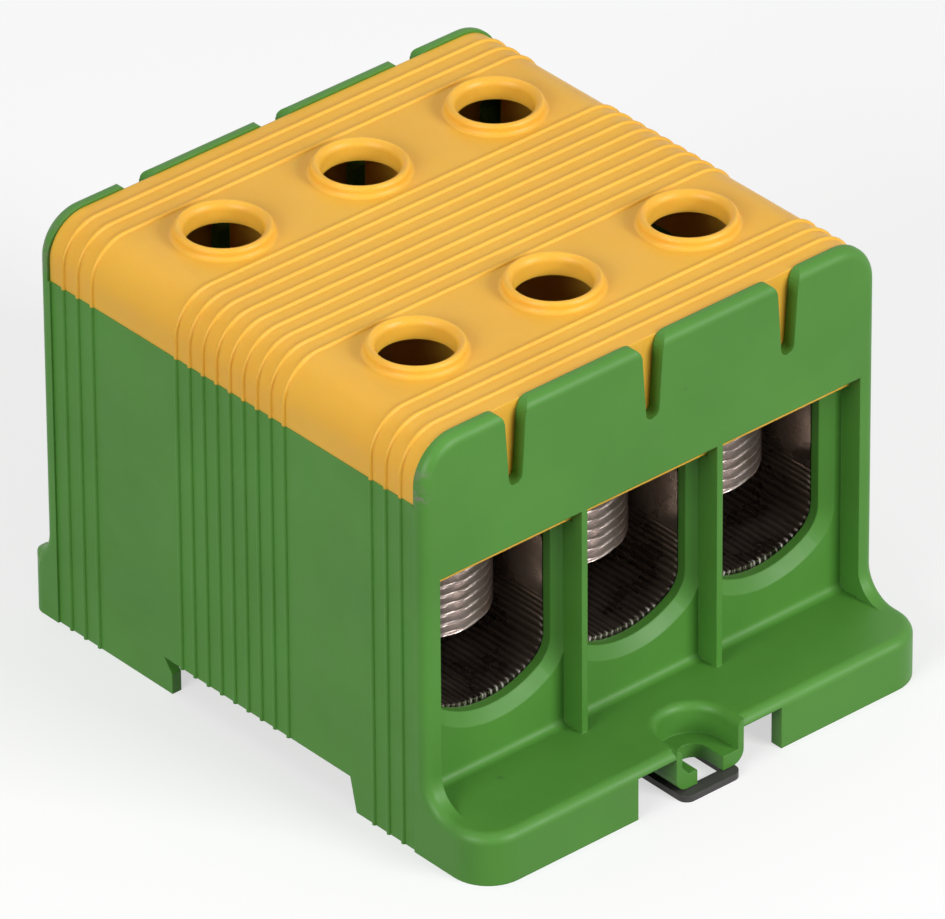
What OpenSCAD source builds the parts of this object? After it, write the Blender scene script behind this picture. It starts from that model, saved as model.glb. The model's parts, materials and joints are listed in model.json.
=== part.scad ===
// Earth terminal bar for a 35 mm mounting rail.
// A green housing holds one clamping bar with three conductor passages.
// Six clamp screws press the conductors down, two in each passage.
// A yellow cover closes the top, and a sprung latch holds the housing on the rail.
// Units are millimetres, +Z is up, the entry face looks along -Y.

/* [Body] */
// Width over the two end flanges
body_w = 80; // [70:0.5:100]
// Depth over the two end panels
body_d = 78.6; // [72:0.2:90]
// Height of the end panels
body_h = 63.9; // [58:0.5:75]
// Thickness of the side walls at the flange
wall_t = 2.8; // [2:0.1:4]
// Thickness of the end panels
panel_t = 2; // [1.5:0.1:3]
// Rounding of the outer edges
edge_r = 1.5; // [0.5:0.1:2]
// Corner radius of the end panels
panel_r = 6.4; // [4:0.1:10]
// Height of the end panels, from their top to their lower edge
panel_fall = 21; // [18:0.1:24]
// Height of the cover beside the end panels
skirt_h = 9.5; // [6:0.5:12]
// Width of the flange band along each side
band_w = 2.4; // [2:0.1:4]
// How far the outer face stands back from the flange
rib_h = 0.35; // [0.2:0.05:0.6]
// Pitch of the middle ribs
rib_pitch = 2.75; // [2:0.05:4]
// Number of middle ribs
rib_count = 9; // [3:2:13]
// Distance of the last outer rib from the panel's face
outer_rib_inset = 4.95; // [4.5:0.05:6]
// Pitch of the outer ribs
outer_rib_pitch = 2.95; // [2:0.05:4]

/* [Poles] */
// Width beside the outer poles
end_margin = 4; // [3.5:0.1:8]
// Width of the posts between the conductor openings
post_w = 3.6; // [3.4:0.1:6]
// Lowest point of the conductor opening
port_z = 15.4; // [12:0.1:20]
// Radius of the opening's bottom arc
port_arc_r = 15; // [12:0.5:30]
// Corner radius of the opening
port_corner_r = 4.5; // [2:0.1:6]
// Width of the lead-in chamfer around the opening
port_chamfer = 1.7; // [0.5:0.1:1.7]
// Depth of the lead-in chamfer
port_chamfer_d = 1.3; // [0.5:0.1:2]
// Distance of the inner end walls behind the panels' faces
recess_d = 3.6; // [3.4:0.1:5]
// Thickness of the inner end walls
inner_wall_t = 2.7; // [2:0.1:4]
// Distance from the cover's lower edge down to the top of the posts
post_drop = 1; // [0.5:0.1:3]
// Thickness of the fins between the openings
fin_t = 1; // [0.8:0.1:2]
// Slot width of the panel notches
notch_w = 2.34; // [1.5:0.02:3]
// Depth of the panel notches
notch_h = 11.8; // [8:0.1:14]
// Widening of the notches toward the top
notch_taper = 0.07; // [0:0.01:0.15]
// Rounding at the mouth of the notches
notch_mouth_r = 1.6; // [0.5:0.1:2]

/* [Feet] */
// Height of the feet
foot_h = 7.8; // [6:0.1:10]
// How far the front foot stands out from its panel
front_toe = 11.6; // [9:0.1:16]
// How far the rear foot stands out from its panel
rear_toe = 3.2; // [3:0.1:10]
// Plan corner radius of the front foot
front_corner_r = 6; // [3:0.1:8]
// Plan corner radius of the rear foot
rear_corner_r = 2.2; // [1.6:0.1:4]
// Radius of the cove between flange and foot
cove_r = 4.5; // [2:0.1:4.5]
// Extra height of the cove at the rear
rear_cove_rise = 1.2; // [0:0.1:2]
// Fillet where the feet meet the inner end walls
foot_fillet_r = 1.2; // [0.5:0.1:2]
// Half width of the gap in the front foot
gap_half_w = 12.8; // [10:0.1:16]
// Height of the gap in the front foot
gap_h = 6.5; // [5:0.1:6.8]
// Half width of the fixing boss in the gap
boss_half_w = 6; // [5.6:0.1:8]
// Underside of the fixing boss
boss_z = 1.1; // [1.1:0.1:2]
// Depth of the fixing boss
boss_d = 10.9; // [9:0.1:12]
// Rounding of the boss's lower edges
boss_r = 2; // [0.5:0.1:2]
// Radius of the counterbore for the screw head
head_r = 5; // [4:0.1:5.4]
// Height of the ledge under the screw head
head_ledge_z = 3.3; // [2.5:0.1:5]
// Rounding of the counterbore rim
head_rim_r = 1.2; // [0.4:0.1:1.5]
// Half width of the fixing screw slot
slot_r = 2.3; // [2:0.05:2.6]
// Distance of the fixing screw axis from the front foot's end
slot_inset = 3.3; // [2.5:0.1:5]
// Thickness of the ribs under the feet
foot_rib_t = 1.8; // [1.2:0.1:3]
// Side wall of the front foot beside its pockets
foot_side_t = 2.6; // [2:0.1:4]
// Thickness of the skin over the front foot's pockets
foot_skin_t = 2; // [1.5:0.1:3]

/* [Rail] */
// Height of the rail seat above the feet
seat_z = 5.2; // [4.5:0.1:6]
// Front edge of the rail seat, from the middle
seat_front_y = 23.52; // [22:0.01:26]
// Slope of the seat's front face
seat_front_slope = 0.24; // [0:0.01:0.4]
// Face of the fixed rail hooks, from the middle
hook_y = 13.25; // [12:0.05:14]
// Height of the hook tips
hook_z = 3.1; // [2:0.1:3.6]
// Depth of the hook groove behind the tips
hook_depth = 1.75; // [1:0.05:3]

/* [Bar] */
// Play of the bar between the inner end walls
bar_end_play = 0.3; // [0.1:0.05:1]
// Play of the bar inside the side walls
bar_play = 0.3; // [0.1:0.05:1]
// Underside of the bar
bar_z = 11.9; // [9:0.1:14]
// Distance from the top of the housing down to the bar
bar_drop = 17.9; // [15:0.1:20]
// Width of the webs between the passages
pole_web = 3.4; // [3:0.1:6]
// Lowest point of the passages
pass_z = 16; // [14:0.1:20]
// Thickness of the bar over the passages
bar_roof_t = 8; // [5:0.1:9]
// Radius of the passages' bottom arc
pass_arc_r = 19.5; // [14:0.5:40]
// Lower corner radius of the passages
pass_corner_r = 3.8; // [2:0.1:6]
// Upper corner radius of the passages
pass_top_r = 2; // [0.5:0.1:4]
// Chamfer at the passages' mouths
pass_lead = 0.5; // [0.2:0.1:1]
// Thickness of the ribs under the bar
bar_rib_t = 1.8; // [1:0.1:3]
// Number of ribs under the bar
bar_rib_count = 8; // [6:1:10]

/* [Clamp screws] */
// Distance from the clamp screws to the passages' sides
screw_side_play = 0.35; // [0.3:0.05:1]
// Radial play between screw and bar
screw_play = 0.05; // [0.02:0.01:0.1]
// Length of the clamp screws
screw_len = 24; // [18:0.5:26]
// Distance of the screw axes from the bar's ends
screw_inset = 13.17; // [11:0.01:15]
// Chamfer at the screw ends
screw_chamfer = 0.9; // [0.4:0.1:1.5]
// Width across the flats of the hex socket
socket_af = 8; // [6:0.5:10]
// Depth of the hex socket
socket_d = 10; // [6:0.5:14]
// Lower end of the front left screw
front_left_z = 24; // [19.5:0.1:36]
// Lower end of the front middle screw
front_mid_z = 24.9; // [19.5:0.1:36]
// Lower end of the front right screw
front_right_z = 25.6; // [19.5:0.1:36]
// Lower end of the rear left screw
rear_left_z = 24.6; // [19.5:0.1:36]
// Lower end of the rear middle screw
rear_mid_z = 25.2; // [19.5:0.1:36]
// Lower end of the rear right screw
rear_right_z = 24.3; // [19.5:0.1:36]

/* [Cover] */
// How far the cover stands back from the flange
cover_back = 0.4; // [0.2:0.05:0.8]
// Thickness of the cover
cover_t = 1.6; // [1.5:0.1:3]
// Play between cover and housing
cover_play = 0.1; // [0.05:0.05:0.3]
// How far the cover's end walls reach below the end panels
apron_drop = 2.1; // [1.5:0.1:4]
// Thickness of the cover's end walls
apron_t = 1.4; // [1:0.1:1.5]
// Thickness of the tongues inside the side walls
tongue_t = 1.3; // [1:0.1:2]
// Depth of the tongues below the cover's lower edge
tongue_h = 5; // [3:0.5:7]
// Radius of the screwdriver holes
access_r = 5.4; // [4.7:0.1:7]
// Wall of the collars around the holes
collar_t = 1.4; // [1:0.1:2.5]
// Height of the collars over the cover
collar_h = 1.6; // [0.8:0.1:4]
// Radius of the collars' flared mouth
collar_flare_r = 1.2; // [0.6:0.1:1.3]
// Radius of the fillet at the foot of the collars
collar_fillet_r = 0.7; // [0.3:0.1:1]
// Thickness of the partitions between the poles
part_t = 1.6; // [1:0.1:3]
// Distance of the partitions from the inner end walls
part_inset = 1.2; // [0.5:0.1:12]
// Gap between the partitions and the bar
part_gap = 1; // [0.3:0.1:6]

/* [Latch] */
// How far the latch tab stands out from the front foot
latch_toe = 1.6; // [0.6:0.1:5]
// Half width of the latch tab
latch_half_w = 5.8; // [4:0.1:5.9]
// Thickness of the latch tab
latch_t = 1; // [0.8:0.1:1]
// Half width of the latch's tool slot
latch_slot_half_w = 4; // [2.5:0.1:4.5]
// Width of the tab's front bar
latch_bar_w = 2.2; // [1.5:0.1:3]
// Distance of the tool slot's end before the boss's rear face
latch_slot_inset = 1; // [0.5:0.1:4]
// How far the right side of the latch tab is cut back
latch_trim = 1.3; // [0:0.1:2]
// Corner radius of the latch tab
latch_corner_r = 1.5; // [0.5:0.1:2.5]
// Gap between the fixing boss and the latch block
block_gap = 3; // [2.8:0.1:5]
// Rear face of the latch block, from the middle
block_back_y = 23; // [22:0.1:24]
// Height of the latch block
block_h = 5.4; // [4.8:0.1:6]
// Reach of the latch nose, from the middle
nose_y = 19.3; // [18.5:0.1:20]
// Top of the latch nose
nose_z = 4.1; // [3:0.1:4.1]
// Half width over the latch's guide flanges
guide_half_w = 6.8; // [6.2:0.1:8]
// Thickness of the guide flanges
guide_t = 1.2; // [0.8:0.1:2]
// Height of the guide flanges
guide_z = 1.4; // [1.2:0.1:2]
// Rear end of the guide grooves, from the middle
guide_stop_y = 25.2; // [24.5:0.1:28]
// Play of the latch in its guides
guide_play = 0.1; // [0.05:0.05:0.3]
// Outer radius of the latch spring
spring_r = 1.8; // [1:0.1:2]
// Wire radius of the latch spring
spring_wire_r = 0.25; // [0.15:0.05:0.4]
// Rear end of the latch spring, from the middle
spring_back_y = 29; // [27:0.1:32]
// Number of spring coils
spring_turns = 8; // [5:1:12]

/* [Hidden] */
$fn = 48;
half_w = body_w / 2;
half_d = body_d / 2;
face_x = half_w - rib_h;
in_x = half_w - wall_t;
front_reach = half_d + front_toe;
rear_reach = half_d + rear_toe;
latch_reach = front_reach + latch_toe;
mid_y = (latch_reach - rear_reach) / 2;
panel_z = body_h - panel_fall;
seam_z = body_h - skirt_h;
notch_z = body_h - notch_h;
post_z = seam_z - post_drop;
inner_face_y = half_d - recess_d;
outer_rib_y = half_d - outer_rib_inset - 2 * outer_rib_pitch;
pole_pitch = (body_w - 2 * end_margin) / 3;
port_half_w = (pole_pitch - post_w) / 2;
boss_back_y = front_reach - boss_d;
panel_in_y = half_d - panel_t;
band_y = half_d - band_w;
edge_x = half_w - edge_r;
edge_y = half_d - edge_r;
corner_x = half_w - panel_r;
corner_z = body_h - panel_r;
cove_y = half_d + cove_r;
foot_edge_z = foot_h - edge_r;
inner_back_y = inner_face_y - inner_wall_t;
rib_r = rib_h;
cover_half_w = half_w - cover_back;
cover_h = body_h - cover_back;
cover_r = panel_r - cover_back;
cover_half_d = panel_in_y - cover_play;
apron_y = cover_half_d - apron_t;
bar_half_w = in_x - bar_play;
bar_half_d = inner_back_y - bar_end_play;
bar_top_z = body_h - bar_drop;
pass_half_w = (pole_pitch - pole_web) / 2;
pass_top_z = bar_top_z - bar_roof_t;
screw_r = pass_half_w - screw_side_play;
screw_y = bar_half_d - screw_inset;
bar_rib_pitch = 2 * bar_half_w / (bar_rib_count + 0.2);
part_half_l = inner_back_y - part_inset;
part_z = bar_top_z + part_gap;
apron_z = panel_z - apron_drop;
tongue_z = seam_z - tongue_h;
collar_z = cover_h + collar_h;
block_front_y = boss_back_y - block_gap;
latch_slot_end = boss_back_y + latch_slot_inset;
bore_r = screw_r + screw_play;
front_slot_y = front_reach - slot_inset;
spring_z = latch_t + spring_r + 0.6;
spring_len = boss_back_y - spring_back_y;
coil_r = spring_r - spring_wire_r;
dead_pitch = 2.1 * spring_wire_r;
live_pitch = (spring_len - 2 * spring_wire_r - 2 * dead_pitch) / (spring_turns - 2);
coil_steps = 16;
wire_sides = 6;
foot_lip_t = 1.9;
front_pocket_pitch = (half_w - foot_side_t - gap_half_w) / 3;
rear_pocket_pitch = (2 * (half_w - foot_lip_t) + foot_rib_t) / 9;
big = 200;
eps = 0.2;

housing_green = [0.16, 0.40, 0.12];
cover_yellow = [0.83, 0.53, 0.10];
bar_metal = [0.72, 0.69, 0.66];
screw_metal = [0.62, 0.58, 0.55];
latch_grey = [0.35, 0.35, 0.36];
spring_metal = [0.70, 0.70, 0.70];

// ---- Common shapes ----

// Both copies of a shape, the second mirrored in X.
module both_sides() {
  children();
  mirror([1, 0, 0]) children();
}

// Both copies of a shape, the second mirrored in Y.
module both_ends() {
  children();
  mirror([0, 1, 0]) children();
}

// Flat shape in X and Z, given its thickness toward -Y from y.
module upright(y, t) {
  translate([0, -y, 0])
    rotate([90, 0, 0])
      linear_extrude(t) children();
}

// Flat shape drawn in Y and Z, extruded from x toward +X.
module sideways(x, t) {
  translate([x, 0, 0])
    rotate([90, 0, 90])
      linear_extrude(t) children();
}

// Quarter disc used for every outer rounding.
module quarter_round() {
  intersection() {
    circle(r = edge_r);
    square(edge_r);
  }
}

// Rectangle with rounded free corners, from the middle to y = reach.
module foot_plan(reach, r, inset) {
  translate([-(half_w - inset), 0]) square([2 * (half_w - inset), reach - r]);
  translate([-(half_w - r), 0]) square([2 * (half_w - r), reach - inset]);
  for (s = [-1, 1]) {
    translate([s * (half_w - r), reach - r]) circle(r = r - inset);
  }
}

// U outline of an opening, drawn in X and Z.
module u_outline(hw, low_z, arc_r, corner_r, top_z) {
  arc_z = low_z + arc_r;
  cx = hw - corner_r;
  cz = arc_z - sqrt(pow(arc_r - corner_r, 2) - cx * cx);
  intersection() {
    translate([0, arc_z]) circle(r = arc_r);
    polygon([[0, arc_z], [-2 * cx, 2 * cz - arc_z], [2 * cx, 2 * cz - arc_z]]);
  }
  for (s = [-1, 1]) {
    translate([s * cx, cz]) circle(r = corner_r);
  }
  translate([-hw, cz]) square([2 * hw, top_z - cz]);
}

// ---- Housing ----

// End panel with its rounded outline, set in by a given amount.
module panel_outline(inset) {
  translate([-(half_w - inset), panel_z]) square([2 * (half_w - inset), corner_z - panel_z]);
  translate([-corner_x, panel_z]) square([2 * corner_x, body_h - inset - panel_z]);
  for (s = [-1, 1]) {
    translate([s * corner_x, corner_z]) circle(r = panel_r - inset);
  }
}

// Front end panel with rounded rim.
module end_panel() {
  upright(panel_in_y, panel_t - edge_r) panel_outline(0);
  upright(edge_y, edge_r) panel_outline(edge_r);
  translate([-corner_x, -edge_y, body_h - edge_r])
    rotate([90, 0, 90])
      mirror([1, 0, 0])
        linear_extrude(2 * corner_x) quarter_round();
  both_sides() {
    translate([corner_x, -edge_y, corner_z])
      rotate([90, 0, 0])
        rotate_extrude(angle = 90)
          translate([panel_r - edge_r, 0]) quarter_round();
    translate([edge_x, -edge_y, panel_z])
      mirror([0, 1, 0])
        linear_extrude(corner_z - panel_z) quarter_round();
  }
}

// Notch cut in the top of an end panel.
module notch_outline() {
  low_r = notch_w / 2;
  low_z = notch_z + low_r;
  top_hw = low_r + notch_taper * (body_h - low_z);
  mouth_x = top_hw + notch_mouth_r;
  translate([0, low_z]) circle(r = low_r);
  polygon([[-low_r, low_z], [low_r, low_z], [top_hw, body_h], [-top_hw, body_h]]);
  difference() {
    translate([-mouth_x, body_h - notch_mouth_r]) square([2 * mouth_x, 2 * notch_mouth_r]);
    for (s = [-1, 1]) {
      translate([s * mouth_x, body_h - notch_mouth_r]) circle(r = notch_mouth_r);
    }
  }
}

// Flange band and cove of the right side wall, front half.
module flange_band(rise, reach, r) {
  cz = foot_h + cove_r + rise;
  // plain band behind the rounded edge
  translate([in_x, -edge_y, 0]) cube([wall_t, edge_y - band_y, seam_z]);
  translate([in_x, -half_d, 0]) cube([edge_x - in_x, edge_r, seam_z]);
  translate([edge_x, -edge_y, cz])
    mirror([0, 1, 0])
      linear_extrude(panel_z - cz) quarter_round();
  intersection() {
    union() {
      // inner layer, up to the cove itself
      sideways(in_x, edge_x - in_x)
        difference() {
          translate([-cove_y, 0]) square([cove_r + eps, cz]);
          translate([-cove_y, cz]) circle(r = cove_r);
        }
      // outer layer, set in by the rounding
      sideways(edge_x, edge_r)
        difference() {
          translate([-cove_y, 0]) square([cove_r + edge_r, cz]);
          translate([-cove_y, cz]) circle(r = cove_r + edge_r);
        }
      // rounding along the cove
      translate([edge_x, -cove_y, cz])
        rotate([0, 90, 0])
          rotate_extrude(angle = 90)
            translate([cove_r + edge_r, 0]) mirror([1, 0]) quarter_round();
    }
    translate([0, 0, -1])
      mirror([0, 1, 0])
        linear_extrude(big) {
          translate([in_x - eps, 0]) square([wall_t + 2 * eps, reach - r]);
          translate([in_x - eps, 0]) square([wall_t + eps - r, reach]);
          translate([half_w - r, reach - r]) circle(r = r);
        }
  }
}

// Solid foot with rounded top edge, drawn for the front.
module foot(reach, r) {
  mirror([0, 1, 0]) linear_extrude(foot_edge_z)
    intersection() {
      foot_plan(reach, r, 0);
      translate([-half_w, edge_y]) square([body_w, big]);
    }
  translate([0, 0, foot_edge_z])
    mirror([0, 1, 0])
      linear_extrude(edge_r)
        intersection() {
          foot_plan(reach, r, edge_r);
          translate([-half_w, edge_y]) square([body_w, big]);
        }
  translate([-(half_w - r), -(reach - edge_r), foot_edge_z])
    rotate([90, 0, 90])
      mirror([1, 0, 0])
        linear_extrude(2 * (half_w - r)) quarter_round();
  both_sides() {
    translate([half_w - r, -(reach - r), foot_edge_z])
      rotate([0, 0, -90])
        rotate_extrude(angle = 90)
          translate([r - edge_r, 0]) quarter_round();
  }
}

// Side rounding of the front foot's top edge, from the cove to the corner.
module foot_side_edge(reach, r) {
  both_sides()
    translate([edge_x, -(reach - r), foot_edge_z])
      rotate([90, 0, 180])
        mirror([1, 0, 0])
          linear_extrude(reach - r - cove_y) quarter_round();
}

// Base plate and side walls between the flange bands.
module tub() {
  translate([-face_x, -band_y, 0]) cube([2 * face_x, 2 * band_y, foot_h]);
  translate([-in_x, -edge_y, 0]) cube([2 * in_x, 2 * edge_y, foot_h]);
  both_sides()
    translate([in_x, -band_y, 0]) cube([face_x - in_x, 2 * band_y, seam_z]);
}

// Inner end walls with the conductor openings.
module inner_wall() {
  difference() {
    translate([-in_x - eps, -inner_face_y, foot_h - eps])
      cube([2 * (in_x + eps), inner_wall_t, post_z - foot_h + eps]);
    for (p = [-1, 0, 1]) {
      translate([p * pole_pitch, 0, 0]) port_cut();
    }
  }
  // fillet on top of the foot
  difference() {
    translate([-in_x - eps, -inner_face_y - foot_fillet_r, foot_h - eps])
      cube([2 * (in_x + eps), foot_fillet_r + eps, foot_fillet_r + eps]);
    translate([-big, -inner_face_y - foot_fillet_r, foot_h + foot_fillet_r])
      rotate([0, 90, 0]) cylinder(r = foot_fillet_r, h = 2 * big);
  }
}

// One conductor opening with its lead-in chamfer.
module port_cut() {
  arc_z = port_z + port_arc_r;
  cx = port_half_w - port_corner_r;
  cz = arc_z - sqrt(pow(port_arc_r - port_corner_r, 2) - cx * cx);
  depth = port_chamfer_d + eps;
  grow = port_chamfer * depth / port_chamfer_d;
  start_y = inner_face_y - port_chamfer_d;
  upright(inner_back_y - eps, inner_wall_t + 2 * eps)
    u_outline(port_half_w, port_z, port_arc_r, port_corner_r, post_z + 1);
  // bottom arc of the chamfer
  intersection() {
    translate([0, -start_y, arc_z])
      rotate([90, 0, 0])
        cylinder(h = depth, r1 = port_arc_r, r2 = port_arc_r + grow);
    upright(start_y - eps, depth + 2 * eps)
      polygon([[0, arc_z], [-3 * cx, 3 * cz - 2 * arc_z], [3 * cx, 3 * cz - 2 * arc_z]]);
  }
  // corners of the chamfer
  for (s = [-1, 1]) {
    translate([s * cx, -start_y, cz])
      rotate([90, 0, 0])
        cylinder(h = depth, r1 = port_corner_r, r2 = port_corner_r + grow);
  }
  // upright sides of the chamfer
  translate([0, 0, cz])
    linear_extrude(post_z + 1 - cz)
      polygon([[-port_half_w, -start_y], [port_half_w, -start_y],
               [port_half_w + grow, -start_y - depth], [-port_half_w - grow, -start_y - depth]]);
}

// Fins between the openings, clear of the cover's end wall.
module fins() {
  for (s = [-1, 1]) {
    translate([s * pole_pitch / 2 - fin_t / 2, -half_d, foot_h - eps])
      cube([fin_t, half_d - inner_face_y + eps, apron_z - eps - foot_h]);
    translate([s * pole_pitch / 2 - fin_t / 2, -half_d, foot_h - eps])
      cube([fin_t, panel_t, panel_z - foot_h + 2 * eps]);
  }
}

// Raised ribs on the side faces, from the feet to the cover.
module wall_ribs(x, z0, z1) {
  for (i = [0 : rib_count - 1]) {
    translate([x, (i - (rib_count - 1) / 2) * rib_pitch, z0]) cylinder(r = rib_r, h = z1 - z0);
  }
  for (i = [0 : 2]) {
    for (s = [-1, 1]) {
      translate([x, s * (outer_rib_y + i * outer_rib_pitch), z0]) cylinder(r = rib_r, h = z1 - z0);
    }
  }
}

// Screw counterbore with rounded rim and slot, open to the front.
module fixing_cut(slot_y) {
  translate([0, -slot_y, head_ledge_z]) cylinder(r = head_r, h = big);
  translate([-head_r, -slot_y - big, head_ledge_z]) cube([2 * head_r, big, big]);
  translate([0, -slot_y, -1]) cylinder(r = slot_r, h = big);
  translate([-slot_r, -slot_y - big, -1]) cube([2 * slot_r, big, big]);
  translate([0, -slot_y, foot_h - head_rim_r])
    rotate_extrude(angle = 180)
      rim_profile();
  both_sides()
    translate([0, -slot_y, foot_h - head_rim_r])
      rotate([90, 0, 0])
        linear_extrude(big) rim_profile();
}

// Corner between a vertical hole and its rounded rim.
module rim_profile() {
  difference() {
    translate([head_r - eps, 0]) square([head_rim_r + eps, head_rim_r + eps]);
    translate([head_r + head_rim_r, 0]) circle(r = head_rim_r);
  }
}

// Boss that carries the front fixing screw.
module boss() {
  low_z = boss_z + boss_r;
  upright(boss_back_y, front_reach - boss_back_y) {
    translate([-boss_half_w, low_z]) square([2 * boss_half_w, foot_h - low_z]);
    translate([-(boss_half_w - boss_r), boss_z])
      square([2 * (boss_half_w - boss_r), low_z - boss_z]);
    for (s = [-1, 1]) {
      translate([s * (boss_half_w - boss_r), low_z]) circle(r = boss_r);
    }
  }
}

// Guide ribs for the latch, with grooves closed at the rear.
module latch_guides() {
  rib_x = boss_half_w + guide_play;
  groove_x = guide_half_w + guide_play;
  both_sides()
    difference() {
      translate([rib_x, -boss_back_y + 1, 0.6])
        cube([groove_x + 1.6 - rib_x, boss_back_y - 1 - seat_front_y - 0.7, gap_h]);
      translate([0, -boss_back_y, guide_z - guide_play])
        cube([groove_x, boss_back_y - guide_stop_y, guide_t + 2 * guide_play]);
    }
}

// Pockets and ribs under the feet.
module foot_pockets() {
  // front pockets, on both sides of the gap
  both_sides()
    for (i = [0 : 2]) {
      open_t = i == 0 ? foot_rib_t + eps : 0;
      translate([gap_half_w + foot_rib_t - open_t + i * front_pocket_pitch,
                 -(front_reach - foot_skin_t), -1])
        cube([front_pocket_pitch - foot_rib_t + open_t,
              front_reach - foot_skin_t - seat_front_y - 3, foot_h - foot_skin_t + 1]);
    }
  // rear pockets, open toward the rail
  for (i = [-4 : 4]) {
    translate([i * rear_pocket_pitch - (rear_pocket_pitch - foot_rib_t) / 2, hook_y - 1, -1])
      cube([rear_pocket_pitch - foot_rib_t, rear_reach - foot_skin_t - hook_y + 1, seat_z + 1]);
  }
}

// Channel for the rail, with the fixed hook at the rear.
module rail_channel() {
  low_z = -1;
  low_y = -seat_front_y - seat_front_slope * (seat_z - low_z);
  sideways(-big / 2, big)
    polygon([[low_y, low_z], [-seat_front_y, seat_z], [hook_y + hook_depth, seat_z],
             [hook_y, hook_z], [hook_y, low_z]]);
}

module housing() {
  color(housing_green)
    translate([0, mid_y, 0]) {
      difference() {
        union() {
          difference() {
            union() {
              tub();
              foot(front_reach, front_corner_r);
              foot_side_edge(front_reach, front_corner_r);
              both_sides() flange_band(0, front_reach, front_corner_r);
              mirror([0, 1, 0]) rear_foot();
            }
            // gap in the front foot
            translate([-gap_half_w, -big, -1]) cube([2 * gap_half_w, big - seat_front_y + 1, gap_h + 1]);
            foot_pockets();
          }
          boss();
          latch_guides();
          bar_ribs();
          both_ends() inner_wall();
          both_ends() end_panel();
          both_ends() fins();
          both_sides() wall_ribs(face_x, 0, seam_z);
        }
        rail_channel();
        fixing_cut(front_slot_y);
        both_ends()
          for (p = [-1, 0, 1]) {
            translate([p * pole_pitch, 0, 0])
              upright(panel_in_y - eps, panel_t + 2 * eps) notch_outline();
          }
      }
      barb();
    }
}

// Rear foot, cut square through the coves.
module rear_foot() {
  both_sides() flange_band(rear_cove_rise, rear_reach, rear_corner_r);
  mirror([0, 1, 0])
    linear_extrude(foot_edge_z)
      intersection() {
        foot_plan(rear_reach, rear_corner_r, 0);
        translate([-half_w, edge_y]) square([body_w, big]);
      }
  translate([-in_x - eps, -(rear_reach - edge_r), foot_edge_z])
    cube([2 * (in_x + eps), rear_reach - edge_r - edge_y, edge_r]);
  translate([-in_x - eps, -(rear_reach - edge_r), foot_edge_z])
    rotate([90, 0, 90])
      mirror([1, 0, 0])
        linear_extrude(2 * (in_x + eps)) quarter_round();
}

// Sloped barb on the left prong of the fixing boss.
module barb() {
  upright(front_reach - 1.6, 1.6)
    polygon([[-head_r - eps, head_ledge_z - eps], [-3.3, head_ledge_z - eps],
             [-3.7, head_ledge_z], [-head_r - eps, head_ledge_z + 1.7]]);
}

// Ribs that carry the clamping bar.
module bar_ribs() {
  for (i = [0 : bar_rib_count - 1]) {
    translate([(i - (bar_rib_count - 1) / 2) * bar_rib_pitch - bar_rib_t / 2, -inner_back_y - eps, foot_h - eps])
      cube([bar_rib_t, 2 * (inner_back_y + eps), bar_z - foot_h + eps]);
  }
}

// ---- Cover ----

// Cover outline in X and Z, set in by a given amount, open below.
module cover_outline(inset) {
  cx = half_w - panel_r;
  translate([-(cover_half_w - inset), seam_z]) square([2 * (cover_half_w - inset), corner_z - seam_z]);
  translate([-cx, seam_z]) square([2 * cx, cover_h - inset - seam_z]);
  intersection() {
    translate([-half_w, seam_z]) square([body_w, body_h - seam_z]);
    for (s = [-1, 1]) {
      translate([s * cx, corner_z]) circle(r = cover_r - inset);
    }
  }
}

// One raised rib that runs over the cover.
module cover_rib(y) {
  cx = half_w - panel_r;
  translate([-cx, y, cover_h])
    rotate([0, 90, 0]) cylinder(r = rib_r, h = 2 * cx);
  both_sides() {
    translate([cover_half_w, y, seam_z]) cylinder(r = rib_r, h = corner_z - seam_z);
    translate([cx, y, corner_z])
      rotate([90, 0, 0])
        rotate_extrude(angle = 90)
          translate([cover_r, 0]) circle(r = rib_r);
  }
}

// Collar around one screwdriver hole.
module collar() {
  outer_r = access_r + collar_t;
  crown_r = collar_t / 2;
  low_z = cover_h - cover_t / 2;
  sink = collar_fillet_r / 20;
  rotate_extrude() {
    translate([access_r - 1, low_z]) square([collar_t + 1, collar_z - crown_r - low_z]);
    translate([access_r - 1, low_z]) square([collar_t + 1 - crown_r, collar_z - low_z]);
    translate([outer_r - crown_r, collar_z - crown_r]) circle(r = crown_r);
    difference() {
      translate([outer_r - eps, low_z])
        square([collar_fillet_r + eps, cover_h - sink + collar_fillet_r - low_z]);
      translate([outer_r + collar_fillet_r, cover_h - sink + collar_fillet_r])
        circle(r = collar_fillet_r);
      translate([outer_r + collar_fillet_r / 2, low_z - 1])
        square([collar_fillet_r, 1 + cover_h - sink - low_z]);
    }
  }
}

module access_hole() {
  flare_z = collar_z - collar_flare_r;
  translate([0, 0, seam_z]) cylinder(r = access_r, h = big);
  rotate_extrude()
    difference() {
      translate([0, flare_z]) square([access_r + collar_flare_r, collar_flare_r + 1]);
      translate([access_r + collar_flare_r, flare_z]) circle(r = collar_flare_r);
    }
}

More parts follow.
